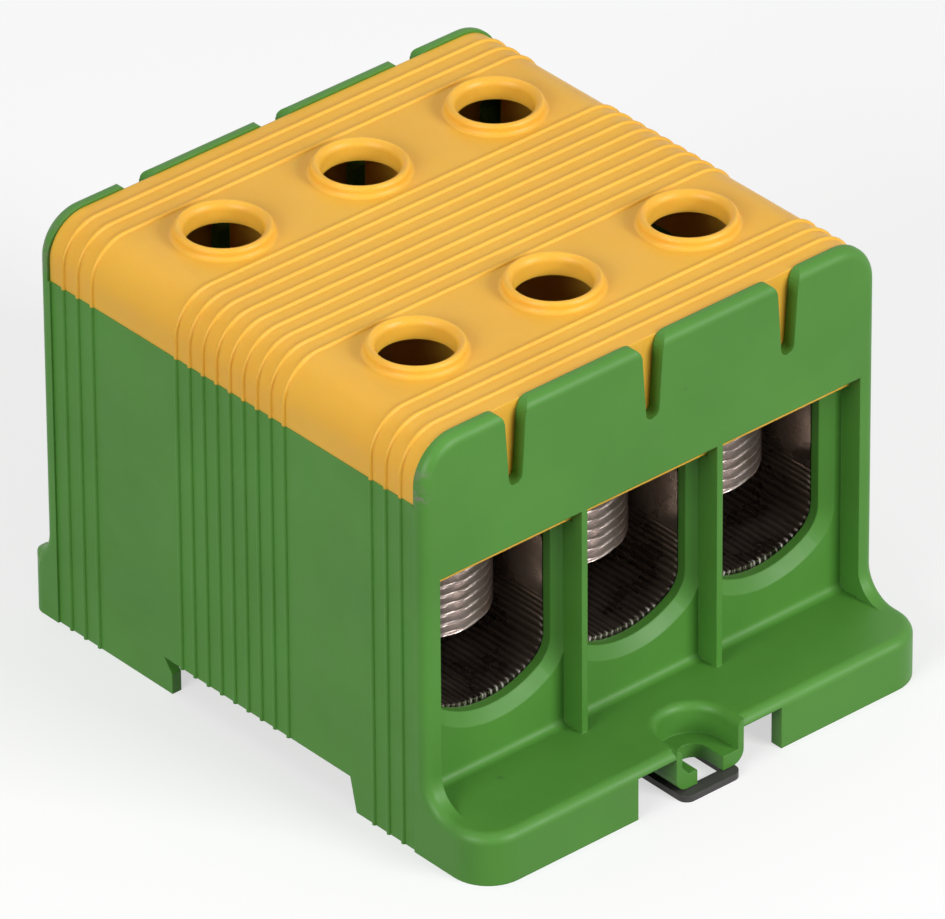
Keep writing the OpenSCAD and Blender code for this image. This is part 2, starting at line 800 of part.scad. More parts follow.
module top_cover() {
  color(cover_yellow)
    translate([0, mid_y, 0])
      difference() {
        union() {
          difference() {
            upright(-cover_half_d, 2 * cover_half_d) cover_outline(0);
            upright(-apron_y, 2 * apron_y) cover_outline(cover_t);
            translate([-cover_half_w + cover_t, -apron_y, seam_z - 1])
              cube([2 * (cover_half_w - cover_t), 2 * apron_y, 2]);
          }
          // end walls that close the openings
          both_ends()
            translate([-in_x + cover_play, -cover_half_d, apron_z])
              cube([2 * (in_x - cover_play), apron_t, seam_z - apron_z + 1]);
          // tongues inside the side walls
          both_sides()
            translate([in_x - cover_play - tongue_t, -inner_back_y + 1, tongue_z])
              cube([tongue_t, 2 * (inner_back_y - 1), corner_z + 1 - tongue_z]);
          both_sides()
            translate([in_x - cover_play - tongue_t, -inner_back_y + 1, seam_z])
              cube([cover_half_w - cover_t / 2 - in_x + cover_play + tongue_t,
                    2 * (inner_back_y - 1), corner_z + 1 - seam_z]);
          // partitions between the poles
          for (s = [-1, 1]) {
            translate([s * pole_pitch / 2 - part_t / 2, -part_half_l, part_z])
              cube([part_t, 2 * part_half_l, cover_h - cover_t / 2 - part_z]);
          }
          for (i = [0 : rib_count - 1]) {
            cover_rib((i - (rib_count - 1) / 2) * rib_pitch);
          }
          for (i = [0 : 2]) {
            for (s = [-1, 1]) {
              cover_rib(s * (outer_rib_y + i * outer_rib_pitch));
            }
          }
          for (p = [-1, 0, 1]) {
            for (s = [-1, 1]) {
              translate([p * pole_pitch, s * screw_y, 0]) collar();
            }
          }
        }
        for (p = [-1, 0, 1]) {
          for (s = [-1, 1]) {
            translate([p * pole_pitch, s * screw_y, 0]) access_hole();
          }
        }
      }
}

// ---- Clamping bar and screws ----

// Passage outline in X and Z, grown by a given amount.
module pass_outline(grow) {
  u_outline(pass_half_w + grow, pass_z - grow, pass_arc_r + grow, pass_corner_r + grow,
            pass_top_z - pass_top_r);
  translate([-(pass_half_w - pass_top_r), pass_top_z - pass_top_r - eps])
    square([2 * (pass_half_w - pass_top_r), pass_top_r + grow + eps]);
  for (s = [-1, 1]) {
    translate([s * (pass_half_w - pass_top_r), pass_top_z - pass_top_r])
      circle(r = pass_top_r + grow);
  }
}

module terminal_bar() {
  color(bar_metal)
    translate([0, mid_y, 0])
      difference() {
        translate([-bar_half_w, -bar_half_d, bar_z])
          cube([2 * bar_half_w, 2 * bar_half_d, bar_top_z - bar_z]);
        for (p = [-1, 0, 1]) {
          translate([p * pole_pitch, 0, 0]) upright(-big / 2, big) pass_outline(0);
          for (s = [-1, 1]) {
            translate([p * pole_pitch, s * screw_y, pass_top_z - pass_top_r])
              cylinder(r = bore_r, h = bar_top_z);
          }
        }
      }
}

// Clamp screw with hex socket, drawn with its lower end at the origin.
module clamp_screw(z) {
  tip_r = screw_r - screw_chamfer;
  top_z = screw_len - screw_chamfer;
  difference() {
    translate([0, 0, z])
      rotate_extrude()
        polygon([[0, 0], [tip_r, 0], [screw_r, screw_chamfer], [screw_r, top_z],
                 [tip_r, screw_len], [0, screw_len]]);
    translate([0, 0, z + screw_len - socket_d])
      rotate([0, 0, 30]) cylinder(h = big, r = socket_af / sqrt(3), $fn = 6);
  }
}

module clamp_screw_1() {
  color(screw_metal) translate([-pole_pitch, mid_y - screw_y, 0]) clamp_screw(front_left_z);
}

module clamp_screw_2() {
  color(screw_metal) translate([0, mid_y - screw_y, 0]) clamp_screw(front_mid_z);
}

module clamp_screw_3() {
  color(screw_metal) translate([pole_pitch, mid_y - screw_y, 0]) clamp_screw(front_right_z);
}

module clamp_screw_4() {
  color(screw_metal) translate([-pole_pitch, mid_y + screw_y, 0]) clamp_screw(rear_left_z);
}

module clamp_screw_5() {
  color(screw_metal) translate([0, mid_y + screw_y, 0]) clamp_screw(rear_mid_z);
}

module clamp_screw_6() {
  color(screw_metal) translate([pole_pitch, mid_y + screw_y, 0]) clamp_screw(rear_right_z);
}

// ---- Rail latch ----

// Tab outline in plan, with the tool slot.
module latch_tab() {
  r = latch_corner_r;
  right_x = latch_half_w - latch_trim;
  difference() {
    union() {
      translate([-latch_half_w, -(latch_reach - r)])
        square([latch_half_w + right_x, latch_reach - r - block_front_y + 1]);
      translate([-(latch_half_w - r), -latch_reach])
        square([latch_half_w + right_x - 2 * r, r + 1]);
      for (x = [-latch_half_w + r, right_x - r]) {
        translate([x, -(latch_reach - r)]) circle(r = r);
      }
    }
    translate([-latch_slot_half_w, -(latch_reach - latch_bar_w)])
      square([2 * latch_slot_half_w - latch_trim, latch_reach - latch_bar_w - latch_slot_end]);
  }
}

module rail_latch() {
  color(latch_grey)
    translate([0, mid_y, 0]) {
      linear_extrude(latch_t) latch_tab();
      difference() {
        union() {
          translate([-latch_half_w, -block_front_y, 0])
            cube([2 * latch_half_w, block_front_y - block_back_y, block_h]);
          translate([-guide_half_w, -block_front_y, guide_z])
            cube([2 * guide_half_w, block_front_y - guide_stop_y - guide_play, guide_t]);
          // nose that reaches under the rail
          sideways(-latch_half_w, 2 * latch_half_w)
            polygon([[-block_back_y - 1, 0], [-block_back_y, 0], [-nose_y, nose_z - 1.2],
                     [-nose_y, nose_z], [-block_back_y - 1, nose_z]]);
        }
        // spring seat, open upward and to the front
        translate([-spring_r - 0.4, -block_front_y - 1, latch_t])
          cube([2 * (spring_r + 0.4), block_front_y + 1 - spring_back_y, big]);
      }
    }
}

// Distance of the wire's middle along the spring, with one dead coil at each end.
function coil_y(t) = spring_wire_r
  + dead_pitch * (min(t, 1) + max(t - spring_turns + 1, 0))
  + live_pitch * min(max(t - 1, 0), spring_turns - 2);

// Point on the wire's surface, at turn t of the coil and angle a around the wire.
function coil_point(t, a) = [
  (coil_r + spring_wire_r * cos(a)) * cos(360 * t),
  coil_y(t) + spring_wire_r * sin(a),
  (coil_r + spring_wire_r * cos(a)) * sin(360 * t)];

// Compression spring between the boss and the latch block.
module latch_spring() {
  rings = spring_turns * coil_steps;
  points = [for (i = [0 : rings]) for (j = [0 : wire_sides - 1])
    coil_point(i / coil_steps, 360 * j / wire_sides)];
  sides = [for (i = [0 : rings - 1]) for (j = [0 : wire_sides - 1]) for (k = [0, 1])
    let (a = i * wire_sides + j,
         b = i * wire_sides + (j + 1) % wire_sides)
      k == 0 ? [a, b, b + wire_sides] : [a, b + wire_sides, a + wire_sides]];
  first = [for (j = [1 : wire_sides - 2]) [0, j + 1, j]];
  last_ring = rings * wire_sides;
  last = [for (j = [1 : wire_sides - 2]) [last_ring, last_ring + j, last_ring + j + 1]];
  color(spring_metal)
    translate([0, mid_y - boss_back_y, spring_z])
      polyhedron(points, concat(sides, first, last));
}

housing();
top_cover();
terminal_bar();
clamp_screw_1();
clamp_screw_2();
clamp_screw_3();
clamp_screw_4();
clamp_screw_5();
clamp_screw_6();
rail_latch();
latch_spring();
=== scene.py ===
"""Dresses the earth terminal bar: finishes, threaded clamp screws, the latch's spring and the stage."""

import json
import math

import bmesh
import bpy
from bpy.props import FloatProperty, FloatVectorProperty, IntProperty, PointerProperty
from mathutils import Matrix, Vector

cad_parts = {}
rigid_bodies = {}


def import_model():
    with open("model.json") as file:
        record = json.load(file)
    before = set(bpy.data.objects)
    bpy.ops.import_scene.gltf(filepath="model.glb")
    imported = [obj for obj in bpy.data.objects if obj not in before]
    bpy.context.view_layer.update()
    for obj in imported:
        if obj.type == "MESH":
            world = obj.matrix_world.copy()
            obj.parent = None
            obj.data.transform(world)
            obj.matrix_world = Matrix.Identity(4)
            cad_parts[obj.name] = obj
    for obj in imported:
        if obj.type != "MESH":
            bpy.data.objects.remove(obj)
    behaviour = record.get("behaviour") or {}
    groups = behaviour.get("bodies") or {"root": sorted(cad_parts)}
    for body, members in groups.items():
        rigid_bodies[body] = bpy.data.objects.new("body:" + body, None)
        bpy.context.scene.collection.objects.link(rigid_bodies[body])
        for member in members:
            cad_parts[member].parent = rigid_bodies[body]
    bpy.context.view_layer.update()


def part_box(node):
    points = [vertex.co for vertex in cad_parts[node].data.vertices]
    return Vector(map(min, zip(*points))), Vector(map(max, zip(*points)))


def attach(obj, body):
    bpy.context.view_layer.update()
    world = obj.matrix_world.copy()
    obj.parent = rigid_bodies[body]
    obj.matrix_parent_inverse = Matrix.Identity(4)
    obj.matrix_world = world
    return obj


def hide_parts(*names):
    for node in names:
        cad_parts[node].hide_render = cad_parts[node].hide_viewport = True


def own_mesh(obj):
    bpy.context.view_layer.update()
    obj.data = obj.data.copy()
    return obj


bl_info = {
    "name": "Earth Terminal Bar",
    "version": (1, 0, 0),
    "blender": (4, 5, 0),
    "location": "View3D > Sidebar > Terminal",
    "description": "Finishes and fittings of a rail-mount earth terminal bar",
    "category": "Object",
}

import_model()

MM = 0.001
SCREWS = [f"clamp_screw_{i}" for i in range(1, 7)]
POLE_PITCH = 24 * MM
MIDDLE_Y = 5.0 * MM
BAR_HALF_DEPTH = 32.7 * MM

# Y of the front and rear flanges' corners, where the shade of the gap between cover and flange is painted.
FRONT_CORNER_Y = MIDDLE_Y - 38.0 * MM
REAR_CORNER_Y = MIDDLE_Y + 38.9 * MM

# Grip lines fan out from a line along each passage: its height, the radius at which their pitch is true,
# and the heights between which they fade. Then the colour of the shade painted into their grooves, and of
# the highlight painted on the crests of the lip.
GRIP_CENTRE_Z = 30.4 * MM
GRIP_RADIUS = 13.2 * MM
GRIP_FULL_Z, GRIP_END_Z = 25.5 * MM, 27.0 * MM
PAINTED_GROOVE_SHADE = (0.16, 0.115, 0.09)
PAINTED_CREST_GLINT = (0.92, 0.86, 0.80)

# Clamp screw's thread: rows of vertices to a turn, the share of a turn that is flank,
# and the half width (in turns) and depth (in thread depths) of the seam along its crest.
THREAD_STEPS = 14
FLANK_SHARE = 0.78
SEAM_HALF_WIDTH = 0.09
SEAM_DEPTH = 0.2

# Stage: the camera's azimuth, elevation and roll in degrees, its place in mm from the aim, and its lens;
# then the world's plain level, and the share of light that the floor gives back and the share it glows.
CAMERA_TURN = (-40.893, 32.627, -0.399)
CAMERA_AIM_Z = 33
CAMERA_SIDE, CAMERA_RISE, CAMERA_BACK = 1.987, 5.069, 1811.1
CAMERA_LENS = 513.64
WORLD_LEVEL = 0.25
FLOOR_BOUNCE = 0.1
FLOOR_GLOW = 0.6


# ---- Settings ----

class TerminalColours(bpy.types.PropertyGroup):
    """Colours of the terminal's pieces and of the stage."""

    housing: FloatVectorProperty(
        name="Housing", description="Green of the moulded housing", subtype="COLOR",
        size=3, min=0, max=1, default=(0.072, 0.235, 0.032))
    cover: FloatVectorProperty(
        name="Cover", description="Yellow of the moulded cover", subtype="COLOR",
        size=3, min=0, max=1, default=(0.79, 0.435, 0.048))
    bar: FloatVectorProperty(
        name="Clamping bar", description="Tin plating of the clamping bar", subtype="COLOR",
        size=3, min=0, max=1, default=(0.60, 0.50, 0.43))
    screw: FloatVectorProperty(
        name="Clamp screws", description="Plated steel of the clamp screws", subtype="COLOR",
        size=3, min=0, max=1, default=(0.34, 0.285, 0.26))
    latch: FloatVectorProperty(
        name="Latch", description="Grey of the moulded rail latch", subtype="COLOR",
        size=3, min=0, max=1, default=(0.055, 0.052, 0.05))
    backdrop: FloatVectorProperty(
        name="Backdrop", description="Colour of the floor", subtype="COLOR",
        size=3, min=0, max=1, default=(0.9, 0.9, 0.9))


class TerminalSizes(bpy.types.PropertyGroup):
    """Sizes of the visible detail."""

    thread_pitch: FloatProperty(
        name="Thread pitch", description="Pitch of the clamp screws' thread",
        subtype="DISTANCE", unit="LENGTH", min=0.0005, default=1.5 * MM, precision=5)
    thread_depth: FloatProperty(
        name="Thread depth", description="Depth of the clamp screws' thread",
        subtype="DISTANCE", unit="LENGTH", min=0.0001, default=0.8 * MM, precision=5)
    screw_chamfer: FloatProperty(
        name="Screw chamfer", description="Chamfer at both ends of a clamp screw",
        subtype="DISTANCE", unit="LENGTH", min=0.0001, default=0.9 * MM, precision=5)
    socket_width: FloatProperty(
        name="Socket width", description="Width across the flats of the hex socket",
        subtype="DISTANCE", unit="LENGTH", min=0.001, default=8 * MM, precision=4)
    socket_depth: FloatProperty(
        name="Socket depth", description="Depth of the hex socket",
        subtype="DISTANCE", unit="LENGTH", min=0.001, default=10 * MM, precision=4)
    screw_segments: IntProperty(
        name="Screw segments", description="Segments round a clamp screw", min=24, default=72)
    serration_pitch: FloatProperty(
        name="Serration pitch", description="Pitch of the grip lines on the passage floors",
        subtype="DISTANCE", unit="LENGTH", min=0.0003, default=0.9 * MM, precision=5)
    edge_radius: FloatProperty(
        name="Edge softness", description="Softening of moulded edges in the finish",
        subtype="DISTANCE", unit="LENGTH", min=0, default=0.25 * MM, precision=5)


# ---- Finishes ----

def new_finish(name):
    """An empty node material with a Principled shader; returns material, nodes and links."""
    material = bpy.data.materials.new(name)
    material.use_nodes = True
    return material, material.node_tree.nodes, material.node_tree.links


def finished_piece(bm, name):
    """Turns a bmesh into a piece in the scene."""
    mesh = bpy.data.meshes.new(name)
    bm.to_mesh(mesh)
    bm.free()
    piece = bpy.data.objects.new(name, mesh)
    bpy.context.scene.collection.objects.link(piece)
    return piece


def object_place(nodes):
    """The Object coordinate every pattern on the terminal is read from."""
    return nodes.new("ShaderNodeTexCoord").outputs["Object"]


def grain(nodes, links, place, scale, detail=3.0, stretch=None):
    """A noise value at a scale in cycles per metre, stretched along an axis if asked."""
    source = place
    if stretch is not None:
        mapping = nodes.new("ShaderNodeMapping")
        mapping.inputs["Scale"].default_value = stretch
        links.new(place, mapping.inputs["Vector"])
        source = mapping.outputs["Vector"]
    noise = nodes.new("ShaderNodeTexNoise")
    noise.inputs["Scale"].default_value = scale
    noise.inputs["Detail"].default_value = detail
    links.new(source, noise.inputs["Vector"])
    return noise.outputs["Fac"]


def remap(nodes, links, value, low, high, out_low, out_high, smooth=False):
    """Carries a value from one range to another, clamped."""
    node = nodes.new("ShaderNodeMapRange")
    node.interpolation_type = "SMOOTHSTEP" if smooth else "LINEAR"
    for key, number in (("From Min", low), ("From Max", high), ("To Min", out_low), ("To Max", out_high)):
        node.inputs[key].default_value = number
    links.new(value, node.inputs["Value"])
    return node.outputs["Result"]


def maths(nodes, links, operation, a, b=None, c=None):
    """One Math node; numbers and sockets both serve as inputs."""
    node = nodes.new("ShaderNodeMath")
    node.operation = operation
    for socket, given in zip(node.inputs, (a, b, c)):
        if given is None:
            continue
        if isinstance(given, (int, float)):
            socket.default_value = given
        else:
            links.new(given, socket)
    return node.outputs["Value"]


def blend_colour(nodes, links, share, first, second):
    """Mixes two colours, each a socket or a tuple, by a share."""
    node = nodes.new("ShaderNodeMix")
    node.data_type = "RGBA"
    if isinstance(share, (int, float)):
        node.inputs["Factor"].default_value = share
    else:
        links.new(share, node.inputs["Factor"])
    for key, given in (("A", first), ("B", second)):
        socket = [s for s in node.inputs if s.name == key and s.type == "RGBA"][0]
        if isinstance(given, tuple):
            socket.default_value = (*given[:3], 1)
        else:
            links.new(given, socket)
    return [s for s in node.outputs if s.type == "RGBA"][0]


def seen_directly(nodes, links):
    """1 for rays from the camera, and for those that metal and glass send on, otherwise 0."""
    path = nodes.new("ShaderNodeLightPath")
    return maths(nodes, links, "MAXIMUM", path.outputs["Is Camera Ray"],
                 maths(nodes, links, "MAXIMUM", path.outputs["Is Glossy Ray"],
                       path.outputs["Is Transmission Ray"]))


def spot(nodes, links, place, centre, inner, outer):
    """1 at a place on the object, falling to 0 over a distance."""
    node = nodes.new("ShaderNodeVectorMath")
    node.operation = "DISTANCE"
    node.inputs[1].default_value = centre
    links.new(place, node.inputs[0])
    return remap(nodes, links, node.outputs["Value"], inner, outer, 1.0, 0.0, smooth=True)


def soft_edges(nodes, links, radius):
    """Normal that rounds hard moulded edges, and the share by which a place is an edge."""
    bevel = nodes.new("ShaderNodeBevel")
    bevel.samples = 4
    bevel.inputs["Radius"].default_value = radius
    geometry = nodes.new("ShaderNodeNewGeometry")
    dot = nodes.new("ShaderNodeVectorMath")
    dot.operation = "DOT_PRODUCT"
    links.new(bevel.outputs["Normal"], dot.inputs[0])
    links.new(geometry.outputs["Normal"], dot.inputs[1])
    edge = remap(nodes, links, dot.outputs["Value"], 0.995, 0.80, 0.0, 1.0)
    return bevel.outputs["Normal"], edge


def relief(nodes, links, height, distance, normal, strength=1.0):
    """A Bump node on top of a normal."""
    bump = nodes.new("ShaderNodeBump")
    bump.inputs["Strength"].default_value = strength
    bump.inputs["Distance"].default_value = distance
    links.new(height, bump.inputs["Height"])
    if normal is not None:
        links.new(normal, bump.inputs["Normal"])
    return bump.outputs["Normal"]


def moulded_plastic(name, colour, deep, roughness, radius, painted_glint, marks=()):
    """Satin moulded plastic: fine spark texture, cloudy tone, edges lightened in patches as a painted
    highlight, and a few marks.
    """
    material, nodes, links = new_finish(name)
    shader = nodes["Principled BSDF"]
    place = object_place(nodes)
    normal, edge = soft_edges(nodes, links, radius)
    cloud = remap(nodes, links, grain(nodes, links, place, 55, 4.0), 0.3, 0.7, 0.0, 1.0)
    fine = grain(nodes, links, place, 5200, 2.0)
    tone = blend_colour(nodes, links, cloud, deep, colour)
    # Painted highlight: edges are lightened in patches towards the lighter glint tone.
    edge_highlight = maths(nodes, links, "MULTIPLY", edge,
                   remap(nodes, links, grain(nodes, links, place, 900, 3.0), 0.35, 0.65, 0.15, 0.55))
    tone = blend_colour(nodes, links, edge_highlight, tone, painted_glint)
    for centre, inner, outer, share, shade in marks:
        patch = maths(nodes, links, "MULTIPLY", spot(nodes, links, place, centre, inner, outer),
                      remap(nodes, links, grain(nodes, links, place, 1400, 4.0), 0.42, 0.6, 0.0, share))
        tone = blend_colour(nodes, links, patch, tone, shade)
    links.new(tone, shader.inputs["Base Color"])
    rough = remap(nodes, links, grain(nodes, links, place, 160, 4.0), 0.3, 0.7,
                  roughness - 0.05, roughness + 0.06)
    links.new(rough, shader.inputs["Roughness"])
    shader.inputs["IOR"].default_value = 1.5
    shader.inputs["Specular IOR Level"].default_value = 0.3
    links.new(relief(nodes, links, fine, 0.02 * MM, normal, 0.5), shader.inputs["Normal"])
    return material


def plated_bar(name, colour, pitch):
    """Tin-plated extruded bar: grip lines on the passage floors, drawn lines along them and dull smears."""
    material, nodes, links = new_finish(name)
    shader = nodes["Principled BSDF"]
    place = object_place(nodes)
    split = nodes.new("ShaderNodeSeparateXYZ")
    links.new(place, split.inputs["Vector"])
    from_middle = maths(nodes, links, "WRAP", split.outputs["X"], POLE_PITCH / 2, -POLE_PITCH / 2)
    across = maths(nodes, links, "ABSOLUTE", from_middle)
    high = maths(nodes, links, "SUBTRACT", GRIP_CENTRE_Z, split.outputs["Z"])
    angle = maths(nodes, links, "ARCTAN2", across, high)
    turns = maths(nodes, links, "MULTIPLY", angle, 2 * math.pi * GRIP_RADIUS / pitch)
    lines = maths(nodes, links, "SINE", turns)
    lines = remap(nodes, links, lines, -1.0, 1.0, 0.0, 1.0)
    low = remap(nodes, links, split.outputs["Z"], GRIP_FULL_Z, GRIP_END_Z, 1.0, 0.0)
    lines = maths(nodes, links, "MULTIPLY", lines, low)
    drawn = grain(nodes, links, place, 1800, 3.0, stretch=(1.0, 0.03, 1.0))
    smear = remap(nodes, links, grain(nodes, links, place, 240, 4.0), 0.35, 0.7, 0.0, 1.0)
    tone = blend_colour(nodes, links, smear, colour, tuple(0.62 * c for c in colour))
    # Painted shade: the grooves between grip lines are darkened towards a dark tone.
    groove_shade = maths(nodes, links, "MULTIPLY", low, maths(nodes, links, "SUBTRACT", 1.0, lines))
    tone = blend_colour(nodes, links, maths(nodes, links, "MULTIPLY", groove_shade, 0.65), tone, PAINTED_GROOVE_SHADE)
    # Painted highlight: grip-line crests near the front and rear faces get a bright, less metallic tone in
    # patches, for the glint of an edge.
    depth = maths(nodes, links, "ABSOLUTE", maths(nodes, links, "SUBTRACT", split.outputs["Y"], MIDDLE_Y))
    lip = remap(nodes, links, depth, BAR_HALF_DEPTH - 0.7 * MM, BAR_HALF_DEPTH - 0.2 * MM, 0.0, 1.0)
    painted_glint = remap(nodes, links, grain(nodes, links, place, 500, 3.0), 0.42, 0.6, 0.1, 0.9)
    crest_glint = maths(nodes, links, "MULTIPLY", remap(nodes, links, lines, 0.55, 0.9, 0.0, 1.0), lip)
    crest_glint = maths(nodes, links, "MULTIPLY", crest_glint, painted_glint)
    tone = blend_colour(nodes, links, crest_glint, tone, PAINTED_CREST_GLINT)
    links.new(tone, shader.inputs["Base Color"])
    links.new(maths(nodes, links, "SUBTRACT", 1.0, maths(nodes, links, "MULTIPLY", crest_glint, 0.6)),
              shader.inputs["Metallic"])
    links.new(remap(nodes, links, smear, 0.0, 1.0, 0.24, 0.42), shader.inputs["Roughness"])
    height = maths(nodes, links, "ADD", lines, maths(nodes, links, "MULTIPLY", drawn, 0.12))
    links.new(relief(nodes, links, height, 0.35 * MM, None, 1.0), shader.inputs["Normal"])
    return material


def plated_steel(name, colour, roughness):
    """Plated steel of screws and spring, with dull smears and fine scratches."""
    material, nodes, links = new_finish(name)
    shader = nodes["Principled BSDF"]
    place = object_place(nodes)
    smear = remap(nodes, links, grain(nodes, links, place, 420, 4.0), 0.35, 0.68, 0.0, 1.0)
    tone = blend_colour(nodes, links, smear, colour, tuple(0.55 * c for c in colour))
    links.new(tone, shader.inputs["Base Color"])
    shader.inputs["Metallic"].default_value = 1.0
    links.new(remap(nodes, links, smear, 0.0, 1.0, roughness, roughness + 0.16), shader.inputs["Roughness"])
    scratch = grain(nodes, links, place, 3000, 4.0, stretch=(1.0, 1.0, 0.15))
    links.new(relief(nodes, links, scratch, 0.03 * MM, None, 0.6), shader.inputs["Normal"])
    return material


def dress(names, material):
    """Puts one finish on CAD nodes or new pieces."""
    for name in names:
        mesh = bpy.data.objects[name].data
        mesh.materials.clear()
        mesh.materials.append(material)


# ---- Pieces ----

def settings(context):
    """The colours and sizes of the scene."""
    return context.scene.terminal_colours, context.scene.terminal_sizes


class FinishHousing(bpy.types.Operator):
    """Gives the housing its green moulded finish, with painted shade of the cover's gap on the flange
    corners.
    """

    bl_idname = "terminal.finish_housing"
    bl_label = "Finish Housing"

    def execute(self, context):
        colours, sizes = settings(context)
        base = tuple(colours.housing)
        lo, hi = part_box("housing")
        # The grey is painted shade: dark patches on the flange corners, where the cover meets the flange.
        grey = (0.20, 0.18, 0.15)
        pale = (0.30, 0.44, 0.22)
        pit = (0.03, 0.07, 0.02)
        smudge = (0.05, 0.12, 0.03)
        marks = (
            (Vector((lo.x + 0.2 * MM, FRONT_CORNER_Y, 56.5 * MM)), 0.5 * MM, 2.2 * MM, 0.7, grey),
            (Vector((lo.x + 0.9 * MM, FRONT_CORNER_Y, 59.5 * MM)), 0.3 * MM, 1.8 * MM, 0.5, grey),
            (Vector((lo.x + 0.2 * MM, REAR_CORNER_Y, 58.0 * MM)), 0.6 * MM, 4.0 * MM, 0.6, grey),
            (Vector((lo.x + 3.0 * MM, REAR_CORNER_Y, 62.0 * MM)), 0.6 * MM, 3.0 * MM, 0.4, grey),
            (Vector((5.9 * MM, MIDDLE_Y - 39.3 * MM, 54.4 * MM)), 0.12 * MM, 0.4 * MM, 0.9, pit),
            (Vector((-27.6 * MM, MIDDLE_Y - 39.9 * MM, 7.8 * MM)), 0.2 * MM, 0.9 * MM, 0.6, smudge),
            (Vector((lo.x, hi.y - 1.2 * MM, 8.5 * MM)), 0.3 * MM, 2.0 * MM, 0.35, pale),
        )
        # The last colour is the lighter tone of the highlight painted along the edges.
        material = moulded_plastic(
            "green_moulding", base, tuple(0.86 * c for c in base), 0.46, sizes.edge_radius,
            tuple(min(1.0, 1.35 * c + 0.02) for c in base), marks)
        dress(["housing"], material)
        return {"FINISHED"}


class FinishCover(bpy.types.Operator):
    """Gives the cover its yellow moulded finish."""

    bl_idname = "terminal.finish_cover"
    bl_label = "Finish Cover"

    def execute(self, context):
        colours, sizes = settings(context)
        base = tuple(colours.cover)
        # The last colour is the lighter tone of the highlight painted along the edges.
        material = moulded_plastic(
            "yellow_moulding", base, tuple(c * s for c, s in zip(base, (0.95, 0.90, 0.85))), 0.40,
            sizes.edge_radius, tuple(min(1.0, 1.12 * c + 0.02) for c in base))
        shader = material.node_tree.nodes["Principled BSDF"]
        shader.inputs["Subsurface Weight"].default_value = 0.3
        shader.inputs["Subsurface Radius"].default_value = (1.0, 0.45, 0.08)
        shader.inputs["Subsurface Scale"].default_value = 1.6 * MM
        dress(["top_cover"], material)
        return {"FINISHED"}


class FinishBar(bpy.types.Operator):
    """Gives the clamping bar its plated finish with the grip lines of its passages."""

    bl_idname = "terminal.finish_bar"
    bl_label = "Finish Clamping Bar"

    def execute(self, context):
        colours, sizes = settings(context)
        dress(["terminal_bar"], plated_bar("tin_plating", tuple(colours.bar), sizes.serration_pitch))
        return {"FINISHED"}


def thread_screw(name, low, high, sizes):
    """A clamp screw with a helical thread and a hex socket, between two corners of its box."""
    axis = (low + high) / 2
    outer = (high.x - low.x) / 2
    count = sizes.screw_segments
    pitch, depth = sizes.thread_pitch, sizes.thread_depth
    length = high.z - low.z
    rows = int(round(length / pitch * THREAD_STEPS))
    bm = bmesh.new()
    bmesh.ops.create_circle(bm, cap_ends=False, radius=outer, segments=count,
                            matrix=Matrix.Translation((0, 0, low.z)))
    edges = list(bm.edges)
    for _ in range(rows):
        made = bmesh.ops.extrude_edge_only(bm, edges=edges)["geom"]
        new_verts = [v for v in made if isinstance(v, bmesh.types.BMVert)]
        bmesh.ops.translate(bm, vec=(0, 0, length / rows), verts=new_verts)
        edges = [e for e in made if isinstance(e, bmesh.types.BMEdge)]
    for v in bm.verts:
        turn = math.atan2(v.co.y, v.co.x) / (2 * math.pi)
        phase = ((v.co.z - low.z) / pitch - turn) % 1.0
        flank = min(1.0, max(0.0, abs(phase - 0.5) * 2 / FLANK_SHARE))
        seam = max(0.0, 1 - min(phase, 1 - phase) / SEAM_HALF_WIDTH)
        end = min(v.co.z - low.z, high.z - v.co.z)
        limit = outer - max(0.0, sizes.screw_chamfer - end)
        radius = min(limit, outer - depth * (1 - flank) - SEAM_DEPTH * depth * seam)
        v.co.x, v.co.y = v.co.x * radius / outer, v.co.y * radius / outer
    top = [v for v in bm.verts if v.co.z > high.z - 1e-6]
    bottom = [v for v in bm.verts if v.co.z < low.z + 1e-6]
    rim = [e for e in bm.edges if all(v in top for v in e.verts)]
    socket = bmesh.ops.create_circle(
        bm, cap_ends=False, radius=sizes.socket_width / math.sqrt(3), segments=6,
        matrix=Matrix.Translation((0, 0, high.z)) @ Matrix.Rotation(math.radians(30), 4, "Z"))["verts"]
    ring = list({e for v in socket for e in v.link_edges})
    bmesh.ops.bridge_loops(bm, edges=rim + ring)
    made = bmesh.ops.extrude_edge_only(bm, edges=ring)["geom"]
    floor_verts = [v for v in made if isinstance(v, bmesh.types.BMVert)]
    bmesh.ops.translate(bm, vec=(0, 0, -sizes.socket_depth), verts=floor_verts)
    bmesh.ops.contextual_create(bm, geom=[e for e in made if isinstance(e, bmesh.types.BMEdge)])
    bmesh.ops.contextual_create(bm, geom=[e for e in bm.edges if all(v in bottom for v in e.verts)])
    bmesh.ops.translate(bm, vec=(axis.x, axis.y, 0), verts=bm.verts)
    bmesh.ops.recalc_face_normals(bm, faces=bm.faces)
    return finished_piece(bm, name)


class MakeScrews(bpy.types.Operator):
    """Builds the six clamp screws with their threads and hex sockets."""

    bl_idname = "terminal.make_screws"
    bl_label = "Make Clamp Screws"

    def execute(self, context):
        colours, sizes = settings(context)
        steel = plated_steel("screw_plating", tuple(colours.screw), 0.30)
        for i, node in enumerate(SCREWS, 1):
            low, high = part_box(node)
            piece = thread_screw(f"threaded_screw_{i}", low, high, sizes)
            piece.data.materials.append(steel)
            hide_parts(node)
            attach(piece, f"screw_{i}")
        return {"FINISHED"}


def merged_copy(name, node):
    """A piece with the shape of a CAD node, its loose triangles joined into one surface."""
    source = bpy.data.objects[node]
    bm = bmesh.new()
    bm.from_mesh(source.data)
    bmesh.ops.transform(bm, matrix=source.matrix_world, verts=bm.verts)
    bmesh.ops.remove_doubles(bm, verts=bm.verts, dist=0.001 * MM)
    return finished_piece(bm, name)


